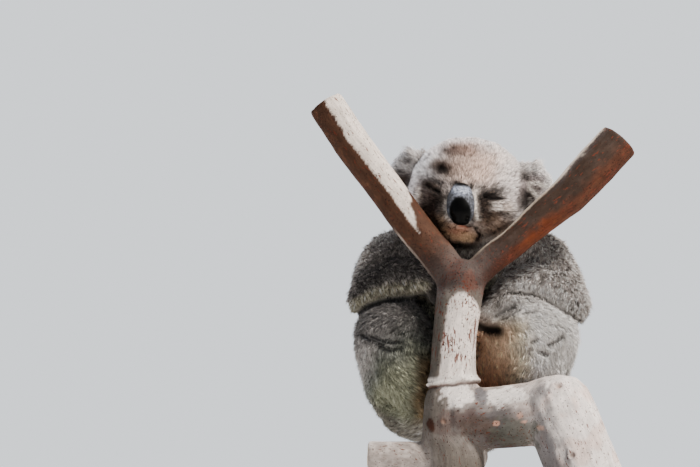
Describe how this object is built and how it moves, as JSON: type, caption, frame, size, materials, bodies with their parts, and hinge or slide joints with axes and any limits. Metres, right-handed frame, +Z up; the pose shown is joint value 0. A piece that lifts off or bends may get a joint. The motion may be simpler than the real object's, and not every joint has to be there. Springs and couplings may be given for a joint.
{
  "type": "sleeping koala",
  "caption": "Life-size still model of a koala asleep in the cut fork of a gum tree, on a round display stand.",
  "frame": {"origin": "centre of the round base's underside, on the surface that it stands on", "axes": "+Z up; -Y is the side that the animal faces, with its chin in the fork; +X to the animal's left"},
  "size_m": [0.4195, 0.376, 0.6244],
  "materials": {
    "coat": "thick grey fur, paler underneath",
    "nose_skin": "bare leathery skin, satin",
    "lid_skin": "short-haired skin, matt",
    "claw_horn": "dark horn, satin",
    "bark": "smooth pale bark with sawn ends",
    "base_wood": "dark stained, satin",
    "rod_steel": "brushed"
  },
  "bodies": {
    "root": {"claw_foot_left_1": "claw_horn", "claw_foot_left_2": "claw_horn", "claw_foot_left_3": "claw_horn", "claw_foot_left_4": "claw_horn", "claw_foot_right_1": "claw_horn", "claw_foot_right_2": "claw_horn", "claw_foot_right_3": "claw_horn", "claw_foot_right_4": "claw_horn", "claw_hand_left_1": "claw_horn", "claw_hand_left_2": "claw_horn", "claw_hand_left_3": "claw_horn", "claw_hand_left_4": "claw_horn", "claw_hand_left_5": "claw_horn", "claw_hand_right_1": "claw_horn", "claw_hand_right_2": "claw_horn", "claw_hand_right_3": "claw_horn", "claw_hand_right_4": "claw_horn", "claw_hand_right_5": "claw_horn", "ear_left": "coat", "ear_right": "coat", "eyelids_left": "lid_skin", "eyelids_right": "lid_skin", "foot_left": "coat", "foot_right": "coat", "forearm_left": "coat", "forearm_right": "coat", "fork_arm_left": "bark", "fork_arm_right": "bark", "fork_bend": "bark", "fork_limb": "bark", "fork_seat": "bark", "fork_stem": "bark", "fork_stub": "bark", "hand_left": "coat", "hand_right": "coat", "head": "coat", "jaw": "coat", "neck": "coat", "nose": "nose_skin", "shank_left": "coat", "shank_right": "coat", "stand_base": "base_wood", "stand_rod_left": "rod_steel", "stand_rod_right": "rod_steel", "thigh_left": "coat", "thigh_right": "coat", "torso": "coat", "upper_arm_left": "coat", "upper_arm_right": "coat"}
  },
  "joints": []
}
